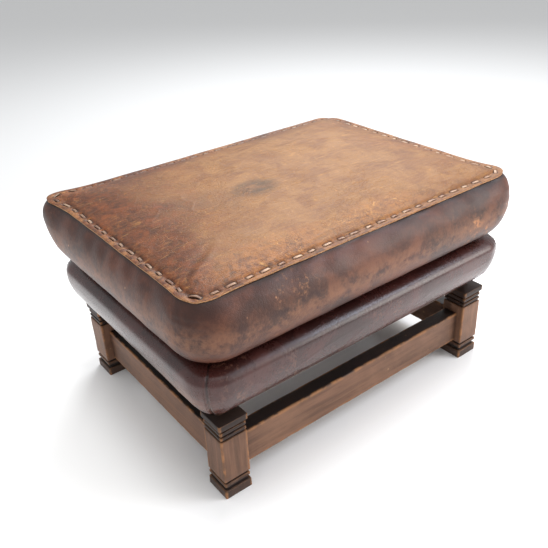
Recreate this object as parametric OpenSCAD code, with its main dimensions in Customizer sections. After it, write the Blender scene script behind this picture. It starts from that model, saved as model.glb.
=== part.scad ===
// Leather ottoman with storage: a hinged cushion lid on a shallow padded box,
// carried by four square legs and four low rails.
// X runs along the length, -Y is the front, +Z is up, the origin is on the floor in the middle.

/* [Cushion lid] */
// Length of the cushion at its widest
cushion_l = 716; // [600:1:900]
// Width of the cushion at its widest
cushion_w = 542; // [440:1:700]
// Height of the cushion from the lid board's underside to the crown
cushion_h = 133; // [120:1:180]
// Height of the cushion's widest line above the lid board's underside
cushion_mid = 58; // [50:1:70]
// Plan radius of the cushion's corners at its widest
cushion_r = 75; // [62:1:100]
// How far the laced rim lies inside the widest line
rim_inset = 26; // [15:1:35]
// Rise of the crown above the rim
crown_h = 12; // [6:1:20]
// Thickness of the lid board
lid_board_t = 12; // [9:1:18]

/* [Padded box] */
// How far the cushion overhangs the box all round
overhang = 12; // [4:1:20]
// Thickness of the padding outside the walls, leather included
pad_t = 45; // [35:1:50]
// Plan radius of the box's corners at its widest
box_r = 52; // [51:1:70]
// Height of the walls, which is the depth of the storage space
wall_h = 92; // [80:1:180]
// Thickness of the walls
wall_t = 20; // [16:1:28]
// Thickness of the base board
base_t = 13; // [9:1:20]
// Height of the widest line above the base board
box_mid = 71; // [60:1:76]
// How far the rolled top edge comes in at the top
roll_in = 30; // [20:1:35]

/* [Legs and rails] */
// Height of the legs
leg_h = 155; // [130:1:220]
// Side of the square leg
leg_w = 50; // [42:1:70]
// From the box's widest line in to the leg's face, along the length
leg_in_x = 34; // [26:1:40]
// From the box's widest line in to the leg's face, along the width
leg_in_y = 23; // [20:1:34]
// How far the foot slab stands proud of the leg
foot_proud = 0.7; // [0:0.1:3]
// How far the cap slab stands proud of the leg
cap_proud = 1.9; // [0:0.1:3]
// Depth of the dark grooves
groove_d = 4; // [2:0.5:6]
// Rounding of the leg's long edges
leg_edge = 1.5; // [0.5:0.1:4]
// Height of the rails
rail_h = 65; // [50:1:75]
// Thickness of the rails
rail_t = 30; // [22:1:34]
// Underside of the rails above the floor
rail_z = 37; // [30:1:45]
// How far the rails lie behind the leg's face
rail_back = 15.3; // [3:0.1:16]

/* [Soft covers] */
// Thickness of the upholstery leather
leather_t = 2; // [1:0.1:3]
// Thickness of the top panel's leather
panel_t = 3; // [2:0.1:4]
// Thickness of the cloth linings
lining_t = 1; // [0.5:0.1:2]
// Width of a thong stitch
thong_w = 5; // [3:0.5:7]
// Spacing of the thong stitches
thong_pitch = 30; // [24:1:40]

/* [Hinges and fasteners] */
// Thickness of the hinge leaves
leaf_t = 2; // [1.5:0.1:2.5]
// Length of a hinge along its pin
hinge_l = 60; // [45:1:90]
// From the middle to each hinge's middle
hinge_x = 190; // [120:1:220]
// Gap between the closed leaves
leaf_gap = 1; // [0.6:0.1:2]
// Outer diameter of the knuckles
knuckle_d = 9; // [8:0.1:10]
// Diameter of the hinge pin
pin_d = 5; // [4:0.1:5.5]
// Running clearance round the pin, in radius
pin_fit = 0.05; // [0.02:0.01:0.1]
// Gap between neighbouring knuckles
knuckle_gap = 0.5; // [0.3:0.1:1]
// Diameter of the dowels
dowel_d = 8; // [6:1:8]
// Diameter of the bolts that hold the legs
bolt_d = 8; // [6:1:8]
// Diameter of the screws
screw_d = 4; // [3:0.5:4]
// Clearance round dowels, bolts and screws, in radius
hole_fit = 0.1; // [0.05:0.05:0.3]

/* [Hidden] */

wood = "#5a3423";
dark_wood = "#2a1a14";
plywood = "#c9a26c";
leather = "#4a2520";
tan_leather = "#9a6236";
cloth = "#8d8270";
foam = "#e6dcc0";
steel = "#8f9296";
felt = "#3b3b38";

arc_steps = 8;
round_fn = 48;
cut = 1;

// Half sizes in plan
cushion_x = cushion_l / 2;
cushion_y = cushion_w / 2;
box_x = cushion_x - overhang;
box_y = cushion_y - overhang;
wall_x = box_x - pad_t;
wall_y = box_y - pad_t;
wall_r = box_r - pad_t;
room_x = wall_x - wall_t;
room_y = wall_y - wall_t;
leg_x = box_x - leg_in_x - leg_w / 2;
leg_y = box_y - leg_in_y - leg_w / 2;
rail_x = leg_x + leg_w / 2 - rail_back - rail_t / 2;
rail_y = leg_y + leg_w / 2 - rail_back - rail_t / 2;

// Heights, from the floor up
base_z = leg_h;
wall_z = base_z + base_t;
wall_top = wall_z + wall_h;
box_top = wall_top + leather_t;
pin_z = box_top + leaf_t + leaf_gap / 2;
lid_z = pin_z + leaf_gap / 2 + leaf_t;
lid_board_top = lid_z + lid_board_t;
mid_z = lid_z + cushion_mid;
crown_z = lid_z + cushion_h;
rim_top = crown_z - crown_h;
rim_z = rim_top - panel_t;

// The pin stands just behind the box's widest line, so the lid can open past upright
pin_clear = 3;
pin_y = box_y + pin_clear;

// Leg bands between the grooves: start, end and how far each stands proud
foot_neck = 35.5;
cap_neck = 35;
bead_in = 0.5;
leg_bands = [
    [0, 16, foot_proud],
    [24, 30, -bead_in],
    [foot_neck, leg_h - cap_neck, 0],
    [leg_h - 31, leg_h - 26, -bead_in],
    [leg_h - 22, leg_h - 16, -bead_in],
    [leg_h - 11, leg_h, cap_proud]
];

// Fasteners
bolt_in_leg = 45;
bolt_in_wall = 25;
hole_end = 1;
edge_room = 3;
rail_dowel_l = 30;
short_dowel_z = dowel_d + edge_room;
long_dowel_z = short_dowel_z + dowel_d + 1;
wall_dowel_l = 30;
wall_dowel_in = 6;
wall_dowel_z = [bolt_in_wall + 16, wall_h - 18];
screw_head_d = 8;
screw_head_h = 2;
base_screw_l = 35;
box_screw_l = 16;
lid_screw_l = 10;
screw_spread = 20;
screw_end = 70;

// Places along the middle of the walls
mid_wall_x = wall_x - wall_t / 2;
mid_wall_y = wall_y - wall_t / 2;

// Felt buffers under the lid
buffer_d = 14;
buffer_gap = 0.3;
buffer_end = 50;

// Side of the cushion: its arcs turn about a line above the lid board's edge
side_r = overhang + pad_t;
lid_r = cushion_r - side_r;
lid_gap = 0.3;
rim_r = cushion_r - rim_inset;
rim_angle = acos(1 - rim_inset / side_r);
rim_rise = (rim_z - mid_z) / sin(rim_angle);

// The flat rim that carries the thong
rim_land = 16;
crown_r = rim_r - rim_land;
thong_in = 10;
thong_l = 18;
thong_h = 1.2;

// Hinge
leaf_inner_y = room_y + 2;
leaf_clear = 0.5;
knuckle_l = hinge_l / 3;

// ---- Sections: x is the distance out from the corner's centre, y is the height ----

function arc_points(cx, cz, rx, rz, from, to) = [
    for (i = [0:arc_steps]) let (a = from + (to - from) * i / arc_steps)
        [cx + rx * cos(a), cz + rz * sin(a)]
];

function reversed(points) = [for (i = [len(points) - 1:-1:0]) points[i]];

function cushion_side(skin) = concat(
    arc_points(cushion_r - side_r, mid_z, side_r - skin, cushion_mid - lid_gap - skin, -90, 0),
    arc_points(cushion_r - side_r, mid_z, side_r - skin, rim_rise - skin, 0, rim_angle)
);

function crown_points(drop) = [
    for (i = [0:arc_steps]) let (x = crown_r * (1 - i / arc_steps))
        [x, rim_top - drop + crown_h * (1 - pow(x / crown_r, 2))]
];

function box_side(skin) = concat(
    arc_points(box_r - pad_t, wall_z + box_mid, pad_t - skin, box_mid - skin, -90, 0),
    arc_points(box_r - roll_in, wall_z + box_mid, roll_in - skin,
               box_top - wall_z - box_mid - skin, 0, 90)
);

// ---- Helpers ----

// Sweeps a section round a rectangle with rounded corners
module sweep_round(half_x, half_y, r) {
    cx = half_x - r;
    cy = half_y - r;
    for (i = [0:3]) {
        sx = (i == 0 || i == 3) ? 1 : -1;
        sy = i < 2 ? 1 : -1;
        translate([sx * cx, sy * cy, 0])
            rotate(90 * i)
                rotate_extrude(angle = 90, $fn = round_fn) children();
    }
    for (s = [0, 180]) rotate(s) {
        translate([cx, cy, 0]) rotate([90, 0, 0]) linear_extrude(2 * cy) children();
        translate([-cx, cy, 0]) rotate([90, 0, 90]) linear_extrude(2 * cx) children();
    }
}

module block(half_x, half_y, z0, z1) {
    translate([-half_x, -half_y, z0]) cube([2 * half_x, 2 * half_y, z1 - z0]);
}

module rounded_plan(half_x, half_y, r) {
    square([2 * (half_x - r), 2 * half_y], center = true);
    square([2 * half_x, 2 * (half_y - r)], center = true);
    for (sx = [-1, 1], sy = [-1, 1])
        translate([sx * (half_x - r), sy * (half_y - r)]) circle(r, $fn = round_fn);
}

module rounded_block(half_x, half_y, r, z0, z1) {
    translate([0, 0, z0]) linear_extrude(z1 - z0) rounded_plan(half_x, half_y, r);
}

module rod(d, l) {
    cylinder(h = l, d = d, $fn = round_fn);
}

// Countersunk screw, head up at z = 0, pointing down
module screw(l, fit = 0) {
    rotate_extrude($fn = round_fn) polygon([
        [0, 0], [screw_head_d / 2 + fit, 0], [screw_d / 2 + fit, -screw_head_h],
        [screw_d / 2 + fit, -l - fit], [0, -l - fit]
    ]);
}

// ---- Fasteners, drawn with fit = hole_fit to cut their own holes ----

module rail_dowels_at(sx, sy, fit = 0) {
    l = rail_dowel_l + 2 * (fit > 0 ? hole_end : 0);
    for (z = [long_dowel_z, rail_h - long_dowel_z])
        translate([sx * (leg_x - leg_w / 2) - l / 2, sy * rail_y, rail_z + z])
            rotate([0, 90, 0]) rod(dowel_d + 2 * fit, l);
    for (z = [short_dowel_z, rail_h - short_dowel_z])
        translate([sx * rail_x, sy * (leg_y - leg_w / 2) + l / 2, rail_z + z])
            rotate([90, 0, 0]) rod(dowel_d + 2 * fit, l);
}

module leg_bolt_at(sx, sy, fit = 0) {
    extra = fit > 0 ? hole_end : 0;
    translate([sx * mid_wall_x, sy * mid_wall_y, leg_h - bolt_in_leg - extra])
        rod(bolt_d + 2 * fit, bolt_in_leg + base_t + bolt_in_wall + 2 * extra);
}

module wall_dowels_at(sx, sy, fit = 0) {
    l = wall_dowel_l + 2 * (fit > 0 ? hole_end : 0);
    for (z = wall_dowel_z)
        translate([sx * mid_wall_x, sy * (wall_y - wall_dowel_in - wall_dowel_l / 2) + l / 2, wall_z + z])
            rotate([90, 0, 0]) rod(dowel_d + 2 * fit, l);
}

module long_wall_screws(sy, fit = 0) {
    for (i = [0:3])
        translate([(2 * i / 3 - 1) * (room_x - screw_end), sy * mid_wall_y, base_z])
            rotate([180, 0, 0]) screw(base_screw_l, fit);
}

module short_wall_screws(sx, fit = 0) {
    for (sy = [-1, 1])
        translate([sx * mid_wall_x, sy * (room_y - screw_end), base_z])
            rotate([180, 0, 0]) screw(base_screw_l, fit);
}

module at_hinge_screws(z) {
    for (s = [-1, 1], i = [-1:1])
        translate([s * hinge_x + i * screw_spread, mid_wall_y, z]) children();
}

module box_leaf_screw_shapes(fit = 0) {
    at_hinge_screws(box_top + leaf_t) screw(box_screw_l, fit);
}

module lid_leaf_screw_shapes(fit = 0) {
    at_hinge_screws(lid_z - leaf_t) rotate([180, 0, 0]) screw(lid_screw_l, fit);
}

// ---- Legs and rails ----

module leg(sx, sy) {
    color(wood) difference() {
        translate([sx * leg_x, sy * leg_y, 0]) {
            core = leg_w / 2 - groove_d;
            rounded_block(core, core, leg_edge, 0, leg_h);
            for (band = leg_bands) {
                half = leg_w / 2 + band[2];
                rounded_block(half, half, leg_edge, band[0], band[1]);
            }
        }
        rail_dowels_at(sx, sy, hole_fit);
        leg_bolt_at(sx, sy, hole_fit);
    }
}

module leg_front_left() leg(-1, -1);
module leg_front_right() leg(1, -1);
module leg_back_left() leg(-1, 1);
module leg_back_right() leg(1, 1);

module long_rail(sy) {
    half = leg_x - leg_w / 2;
    color(wood) difference() {
        translate([-half, sy * rail_y, rail_z + rail_h / 2])
            rotate([90, 0, 90])
                linear_extrude(2 * half) rounded_plan(rail_t / 2, rail_h / 2, leg_edge);
        for (sx = [-1, 1]) rail_dowels_at(sx, sy, hole_fit);
    }
}

module short_rail(sx) {
    half = leg_y - leg_w / 2;
    color(wood) difference() {
        translate([sx * rail_x, half, rail_z + rail_h / 2])
            rotate([90, 0, 0])
                linear_extrude(2 * half) rounded_plan(rail_t / 2, rail_h / 2, leg_edge);
        for (sy = [-1, 1]) rail_dowels_at(sx, sy, hole_fit);
    }
}

module front_rail() long_rail(-1);
module back_rail() long_rail(1);
module left_rail() short_rail(-1);
module right_rail() short_rail(1);

module rail_dowels() {
    color(plywood) for (sx = [-1, 1], sy = [-1, 1]) rail_dowels_at(sx, sy);
}

module leg_bolts() {
    color(steel) for (sx = [-1, 1], sy = [-1, 1]) leg_bolt_at(sx, sy);
}

// ---- Box ----

module base_board() {
    color(dark_wood) difference() {
        rounded_block(wall_x, wall_y, wall_r, base_z, wall_z);
        for (sx = [-1, 1], sy = [-1, 1]) leg_bolt_at(sx, sy, hole_fit);
        for (s = [-1, 1]) {
            long_wall_screws(s, hole_fit);
            short_wall_screws(s, hole_fit);
        }
    }
}

module long_wall(sy) {
    color(plywood) difference() {
        intersection() {
            rounded_block(wall_x, wall_y, wall_r, wall_z, wall_top);
            translate([0, sy * mid_wall_y, 0]) block(wall_x + cut, wall_t / 2, wall_z - cut, wall_top + cut);
        }
        for (sx = [-1, 1]) {
            leg_bolt_at(sx, sy, hole_fit);
            wall_dowels_at(sx, sy, hole_fit);
        }
        long_wall_screws(sy, hole_fit);
        if (sy > 0) box_leaf_screw_shapes(hole_fit);
    }
}

module short_wall(sx) {
    color(plywood) difference() {
        translate([sx * mid_wall_x, 0, 0]) block(wall_t / 2, room_y, wall_z, wall_top);
        for (sy = [-1, 1]) wall_dowels_at(sx, sy, hole_fit);
        short_wall_screws(sx, hole_fit);
    }
}

module front_wall() long_wall(-1);
module back_wall() long_wall(1);
module left_wall() short_wall(-1);
module right_wall() short_wall(1);

module wall_dowels() {
    color(plywood) for (sx = [-1, 1], sy = [-1, 1]) wall_dowels_at(sx, sy);
}

module base_screws() {
    color(steel) for (s = [-1, 1]) {
        long_wall_screws(s);
        short_wall_screws(s);
    }
}

module padding() {
    sweep_round(box_x, box_y, box_r)
        polygon(concat(box_side(leather_t), [[box_r - pad_t, wall_top]]));
}

module long_pad(sy) {
    color(foam) intersection() {
        padding();
        translate([0, sy * (wall_y + pad_t / 2), 0])
            block(box_x + cut, pad_t / 2, wall_z - cut, wall_top + cut);
    }
}

module short_pad(sx) {
    color(foam) intersection() {
        padding();
        translate([sx * box_x, 0, 0]) block(box_r, wall_y, wall_z - cut, wall_top + cut);
    }
}

module front_pad() long_pad(-1);
module back_pad() long_pad(1);
module left_pad() short_pad(-1);
module right_pad() short_pad(1);

module box_cover() {
    color(leather) difference() {
        union() {
            sweep_round(box_x, box_y, box_r)
                polygon(concat(box_side(0), reversed(box_side(leather_t))));
            translate([0, 0, wall_top]) linear_extrude(leather_t) difference() {
                rounded_plan(box_x - roll_in, box_y - roll_in, box_r - roll_in);
                square([2 * room_x, 2 * room_y], center = true);
            }
        }
        box_leaf_screw_shapes(hole_fit);
    }
}

module box_lining() {
    color(cloth) difference() {
        block(room_x, room_y, wall_z, wall_top);
        block(room_x - lining_t, room_y - lining_t, wall_z + lining_t, wall_top + cut);
    }
}

// ---- Lid ----

module lid_board_blank() {
    rounded_block(wall_x, wall_y, lid_r, lid_z, lid_board_top);
}

module lid_board() {
    color(plywood) difference() {
        lid_board_blank();
        lid_leaf_screw_shapes(hole_fit);
    }
}

module lid_lining() {
    color(cloth) difference() {
        rounded_block(wall_x - lining_t, wall_y - lining_t, lid_r - lining_t, lid_z - lining_t, lid_z);
        for (s = [-1, 1])
            translate([s * hinge_x, leaf_inner_y + pad_t, 0])
                block(hinge_l / 2 + leaf_clear, pad_t + leaf_clear, lid_z - leaf_t, lid_z + cut);
    }
}

module cushion_foam() {
    color(foam) difference() {
        union() {
            sweep_round(cushion_x, cushion_y, cushion_r)
                polygon(concat(
                    [[0, lid_z + lid_gap + leather_t]], cushion_side(leather_t), crown_points(panel_t)
                ));
            block(cushion_x - cushion_r, cushion_y - cushion_r, lid_z + lid_gap + leather_t,
                  crown_z - panel_t);
        }
        lid_board_blank();
    }
}

module cushion_side_band() {
    color(leather) sweep_round(cushion_x, cushion_y, cushion_r)
        polygon(concat(cushion_side(0), [[crown_r, rim_z]], reversed(cushion_side(leather_t))));
}

module cushion_top_panel() {
    color(tan_leather) {
        sweep_round(cushion_x, cushion_y, cushion_r)
            polygon(concat(
                reversed(crown_points(panel_t)), [[rim_r, rim_z], [rim_r, rim_top]], crown_points(0)
            ));
        block(cushion_x - cushion_r, cushion_y - cushion_r, crown_z - panel_t, crown_z);
    }
}

module stitch() {
    translate([rim_r - thong_in - thong_w / 2, -thong_l / 2, rim_top]) cube([thong_w, thong_l, thong_h]);
}

module stitch_row(half) {
    n = floor(2 * half / thong_pitch);
    for (i = [0:n - 1]) translate([0, (i - (n - 1) / 2) * thong_pitch, 0]) stitch();
}

module rim_thong() {
    cx = cushion_x - cushion_r;
    cy = cushion_y - cushion_r;
    color(tan_leather) {
        for (s = [0, 180]) rotate(s) {
            translate([cx, 0, 0]) stitch_row(cy);
            translate([0, cy, 0]) rotate(90) stitch_row(cx);
            translate([cx, cy, 0]) rotate(45) stitch();
            translate([-cx, cy, 0]) rotate(135) stitch();
        }
    }
}

// ---- Hinges: the outer knuckles belong to the box leaf, the middle one to the lid leaf ----

module leaf_plate(z0, tongues) {
    reach = knuckle_d / 2 + leaf_clear;
    translate([-hinge_l / 2, leaf_inner_y, z0]) cube([hinge_l, pin_y - reach - leaf_inner_y, leaf_t]);
    for (t = tongues) translate([t[0], pin_y - reach - cut, z0]) cube([t[1] - t[0], reach + cut, leaf_t]);
}

module knuckle(span) {
    translate([span[0], pin_y, pin_z]) rotate([0, 90, 0]) rod(knuckle_d, span[1] - span[0]);
}

module leaf(z0, spans, bore) {
    difference() {
        union() {
            leaf_plate(z0, spans);
            for (span = spans) knuckle(span);
        }
        translate([-hinge_l / 2 - cut, pin_y, pin_z]) rotate([0, 90, 0]) rod(bore, hinge_l + 2 * cut);
    }
}

outer_spans = [
    [-hinge_l / 2, -knuckle_l / 2 - knuckle_gap / 2],
    [knuckle_l / 2 + knuckle_gap / 2, hinge_l / 2]
];
middle_span = [[-knuckle_l / 2 + knuckle_gap / 2, knuckle_l / 2 - knuckle_gap / 2]];

module hinge_box_leaves() {
    color(steel) difference() {
        for (s = [-1, 1]) translate([s * hinge_x, 0, 0]) leaf(box_top, outer_spans, pin_d);
        box_leaf_screw_shapes(hole_fit);
    }
}

module hinge_lid_leaves() {
    color(steel) difference() {
        for (s = [-1, 1])
            translate([s * hinge_x, 0, 0]) leaf(lid_z - leaf_t, middle_span, pin_d + 2 * pin_fit);
        lid_leaf_screw_shapes(hole_fit);
    }
}

module hinge_pins() {
    color(steel) for (s = [-1, 1])
        translate([s * hinge_x - hinge_l / 2, pin_y, pin_z]) rotate([0, 90, 0]) rod(pin_d, hinge_l);
}

module box_leaf_screws() {
    color(steel) box_leaf_screw_shapes();
}

module lid_leaf_screws() {
    color(steel) lid_leaf_screw_shapes();
}

module felt_buffers() {
    z0 = box_top + buffer_gap;
    color(felt) for (s = [-1, 1]) {
        translate([s * (room_x - buffer_end), -mid_wall_y, z0]) rod(buffer_d, lid_z - lining_t - z0);
        translate([s * mid_wall_x, buffer_end, z0]) rod(buffer_d, lid_z - lining_t - z0);
    }
}

leg_front_left();
leg_front_right();
leg_back_left();
leg_back_right();
front_rail();
back_rail();
left_rail();
right_rail();
rail_dowels();
leg_bolts();
base_board();
front_wall();
back_wall();
left_wall();
right_wall();
wall_dowels();
base_screws();
front_pad();
back_pad();
left_pad();
right_pad();
box_cover();
box_lining();
lid_board();
lid_lining();
cushion_foam();
cushion_side_band();
cushion_top_panel();
rim_thong();
hinge_box_leaves();
hinge_lid_leaves();
hinge_pins();
box_leaf_screws();
lid_leaf_screws();
felt_buffers();
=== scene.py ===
import math
import random

import bpy
from mathutils import Matrix, Vector, noise
from mathutils.bvhtree import BVHTree


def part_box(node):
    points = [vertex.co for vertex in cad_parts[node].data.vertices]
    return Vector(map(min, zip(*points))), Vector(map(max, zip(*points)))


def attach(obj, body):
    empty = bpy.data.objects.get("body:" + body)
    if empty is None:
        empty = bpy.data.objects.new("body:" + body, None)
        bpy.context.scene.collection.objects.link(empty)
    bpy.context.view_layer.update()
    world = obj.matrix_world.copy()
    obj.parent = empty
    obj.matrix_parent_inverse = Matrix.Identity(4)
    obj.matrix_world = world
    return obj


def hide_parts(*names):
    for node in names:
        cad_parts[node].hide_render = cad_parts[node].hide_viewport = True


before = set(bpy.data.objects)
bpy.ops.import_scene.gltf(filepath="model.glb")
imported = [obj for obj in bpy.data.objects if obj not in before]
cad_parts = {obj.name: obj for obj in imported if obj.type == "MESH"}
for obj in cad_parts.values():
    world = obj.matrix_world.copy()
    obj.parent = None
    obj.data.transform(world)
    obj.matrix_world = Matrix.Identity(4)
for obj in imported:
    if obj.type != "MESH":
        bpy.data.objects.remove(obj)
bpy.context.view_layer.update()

MM = 0.001
scene = bpy.context.scene

# ---------------------------------------------------------------- camera, floor and light

VIEW_AZIMUTH = -36.34
VIEW_ELEVATION = 30.09
VIEW_ROLL = -2.87
VIEW_DISTANCE = 1.3334
VIEW_AIM = Vector((-0.0135, 0.0107, 0.200))
LENS = 44.95


def place_camera():
    azimuth, elevation, roll = (math.radians(v) for v in (VIEW_AZIMUTH, VIEW_ELEVATION, VIEW_ROLL))
    back = Vector((math.sin(azimuth) * math.cos(elevation),
                   -math.cos(azimuth) * math.cos(elevation), math.sin(elevation)))
    right = (-back).cross(Vector((0, 0, 1))).normalized()
    up = right.cross(-back)
    side = right * math.cos(roll) + up * math.sin(roll)
    top = up * math.cos(roll) - right * math.sin(roll)
    camera = bpy.data.objects.new("camera", bpy.data.cameras.new("camera"))
    camera.data.lens = LENS
    camera.data.sensor_width = 36
    stand = VIEW_AIM + back * VIEW_DISTANCE
    camera.matrix_world = Matrix([[side[i], top[i], back[i], stand[i]] for i in range(3)] + [[0, 0, 0, 1]])
    scene.collection.objects.link(camera)
    scene.camera = camera


def soft_light(name, place, aim, size, watts, colour=(1, 1, 1)):
    light = bpy.data.lights.new(name, "AREA")
    light.shape = "RECTANGLE"
    light.size, light.size_y = size
    light.energy = watts
    light.color = colour
    holder = bpy.data.objects.new(name, light)
    holder.location = place
    holder.rotation_euler = (Vector(aim) - Vector(place)).to_track_quat("-Z", "Y").to_euler()
    scene.collection.objects.link(holder)


def light_studio():
    world = bpy.data.worlds.new("studio")
    world.use_nodes = True
    world.node_tree.nodes["Background"].inputs["Color"].default_value = (0.97, 0.98, 1.0, 1)
    world.node_tree.nodes["Background"].inputs["Strength"].default_value = 0.7
    scene.world = world
    scene.view_settings.view_transform = "Standard"
    soft_light("window", (1.5, 1.3, 2.0), (0, 0, 0.25), (1.6, 1.2), 42, (0.95, 0.97, 1.0))
    soft_light("ceiling", (0.1, -0.2, 2.4), (0, 0, 0.2), (2.2, 1.8), 26)
    soft_light("high_window", (1.25, -1.2, 1.7), (0, -0.2, 0.25), (0.7, 0.22), 9, (0.78, 0.84, 1.0))
    soft_light("room_side", (1.6, -1.8, 1.1), (0, 0, 0.15), (1.2, 1.0), 25, (1.0, 0.97, 0.93))


def lay_floor(finish):
    mesh = bpy.data.meshes.new("studio_floor")
    reach = 12.0
    mesh.from_pydata([(-reach, -reach, 0), (reach, -reach, 0), (reach, reach, 0), (-reach, reach, 0)],
                     [], [(0, 1, 2, 3)])
    mesh.materials.append(finish)
    floor = bpy.data.objects.new("studio_floor", mesh)
    scene.collection.objects.link(floor)


# ---------------------------------------------------------------- finishes: how nodes are written


class Wire:
    """One shader socket that takes part in Python arithmetic."""

    def __init__(self, bench, socket):
        self.bench = bench
        self.socket = socket

    def __add__(self, other):
        return self.bench.maths("ADD", self, other)

    def __radd__(self, other):
        return self.bench.maths("ADD", other, self)

    def __sub__(self, other):
        return self.bench.maths("SUBTRACT", self, other)

    def __rsub__(self, other):
        return self.bench.maths("SUBTRACT", other, self)

    def __mul__(self, other):
        return self.bench.maths("MULTIPLY", self, other)

    def __rmul__(self, other):
        return self.bench.maths("MULTIPLY", other, self)

    def __truediv__(self, other):
        return self.bench.maths("DIVIDE", self, other)


class Bench:
    """Builds one material's nodes."""

    def __init__(self, name):
        self.material = bpy.data.materials.new(name)
        self.material.use_nodes = True
        self.tree = self.material.node_tree
        self.tree.nodes.clear()
        self.place = Wire(self, self.tree.nodes.new("ShaderNodeTexCoord").outputs["Object"])

    def node(self, kind, out=0, settings=None, stops=None, **sockets):
        """Adds one node: its settings first, then its sockets by name or by number as _0, _1."""
        made = self.tree.nodes.new(kind)
        for key, value in (settings or {}).items():
            setattr(made, key, value)
        if stops:
            ramp = made.color_ramp
            while len(ramp.elements) < len(stops):
                ramp.elements.new(0.5)
            for element, (place, colour) in zip(ramp.elements, stops):
                element.position = place
                element.color = (*colour, 1) if isinstance(colour, tuple) else (colour,) * 3 + (1,)
        for key, value in sockets.items():
            socket = made.inputs[int(key[1:])] if key[0] == "_" else made.inputs[key.replace("_", " ")]
            if isinstance(value, Wire):
                self.tree.links.new(value.socket, socket)
            elif isinstance(value, tuple) and len(value) == 3 and socket.type == "RGBA":
                socket.default_value = (*value, 1)
            else:
                socket.default_value = value
        return Wire(self, made.outputs[out])

    def maths(self, operation, a, b=0.0, clamp=False):
        return self.node("ShaderNodeMath", settings={"operation": operation, "use_clamp": clamp},
                         _0=a, _1=b)

    def mix(self, share, a, b, blend="MIX"):
        return self.node("ShaderNodeMix", out=2, settings={"data_type": "RGBA", "blend_type": blend},
                         _0=share, _6=a, _7=b)

    def stretch(self, x, y, z, turn=0.0):
        """The piece's own coordinates, scaled per axis and turned about Z."""
        return self.node("ShaderNodeMapping", Vector=self.place, Scale=(x, y, z),
                         Rotation=(0, 0, math.radians(turn)))

    def cloud(self, scale, detail=4.0, rough=0.55, where=None, twist=0.0):
        return self.node("ShaderNodeTexNoise", Vector=where or self.place, Scale=scale, Detail=detail,
                         Roughness=rough, Distortion=twist)

    def cells(self, scale, feature="F1", where=None):
        return self.node("ShaderNodeTexVoronoi", settings={"feature": feature},
                         Vector=where or self.place, Scale=scale)

    def step(self, value, low, high, smooth=True):
        """0 below low, 1 above high; low may be the larger one."""
        kind = "SMOOTHSTEP" if smooth else "LINEAR"
        if low <= high:
            return self.node("ShaderNodeMapRange", settings={"interpolation_type": kind},
                             Value=value, _1=low, _2=high, _3=0.0, _4=1.0)
        return self.node("ShaderNodeMapRange", settings={"interpolation_type": kind},
                         Value=value, _1=high, _2=low, _3=1.0, _4=0.0)

    def paint(self, name):
        """A value that the mesh carries at each point, such as wear along an edge."""
        return self.node("ShaderNodeAttribute", out=2, settings={"attribute_name": name})

    def spot(self, x, y, radius_x, radius_y):
        """1 at a place on the top and fading to 0 at the radii."""
        split = self.tree.nodes.new("ShaderNodeSeparateXYZ")
        self.tree.links.new(self.place.socket, split.inputs[0])
        across = (Wire(self, split.outputs[0]) - x) / radius_x
        along = (Wire(self, split.outputs[1]) - y) / radius_y
        return self.step(across * across + along * along, 1.0, 0.0)

    def axis(self, index):
        split = self.tree.nodes.new("ShaderNodeSeparateXYZ")
        self.tree.links.new(self.place.socket, split.inputs[0])
        return Wire(self, split.outputs[index])

    def finish(self, colour, rough, height=None, relief=0.001, **fixed):
        """Closes the material: fixed values go straight on the shader's own sockets."""
        shader = self.tree.nodes.new("ShaderNodeBsdfPrincipled")
        output = self.tree.nodes.new("ShaderNodeOutputMaterial")
        self.tree.links.new(shader.outputs[0], output.inputs[0])
        for name, value in (("Base Color", colour), ("Roughness", rough)):
            if isinstance(value, Wire):
                self.tree.links.new(value.socket, shader.inputs[name])
            else:
                shader.inputs[name].default_value = (*value, 1) if isinstance(value, tuple) else value
        for name, value in fixed.items():
            shader.inputs[name.replace("_", " ")].default_value = value
        if height is not None:
            bump = self.node("ShaderNodeBump", Height=height, Distance=relief, Strength=1.0)
            self.tree.links.new(bump.socket, shader.inputs["Normal"])
        return self.material


def dye(red, green, blue):
    """A colour given as the eye sees it, 0 to 255, made linear for the shader."""
    return tuple(((v / 255 + 0.055) / 1.055) ** 2.4 if v > 10 else v / 3295 for v in (red, green, blue))


# ---------------------------------------------------------------- finishes


def floor_white():
    """A bright studio floor with painted light: it glows a little away from the piece, which leaves painted
    shade under the piece, and painted shade greys it far behind.
    """
    b = Bench("studio_white")
    across = b.maths("ABSOLUTE", b.axis(0)) - 0.30
    along = b.maths("ABSOLUTE", b.axis(1)) - 0.22
    # Mask for the painted light: the floor glows only away from the piece, so it keeps a painted shade under
    # it.
    clear = b.step(b.maths("MAXIMUM", across, along), 0.0, 0.13)
    # Painted shade: the floor greys far behind the piece.
    back = b.step(b.axis(1) * 0.8 + b.axis(0) * 0.6, 0.75, 0.95)
    colour = b.mix(back, dye(248, 248, 247), dye(222, 222, 221))
    painted_glow = b.mix(clear * (1.0 - back), (0, 0, 0), (0.24, 0.24, 0.236))
    shade = b.finish(colour, 0.9, Specular_IOR_Level=0.2, Emission_Strength=1.0)
    shader = next(n for n in b.tree.nodes if n.type == "BSDF_PRINCIPLED")
    b.tree.links.new(painted_glow.socket, shader.inputs["Emission Color"])
    return shade


def leather_grain(b, pore=900.0):
    """Fine pebble, pores and hair creases of a hide, 0 to about 1."""
    pebble = b.cells(pore * 0.75)
    pores = b.cloud(pore, 2.0)
    creases = b.cells(150.0, "DISTANCE_TO_EDGE", b.stretch(1.0, 1.0, 1.0, 25))
    return pebble * 0.35 + pores * 0.3 + b.step(creases, 0.0, 0.12) * 0.25


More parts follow.
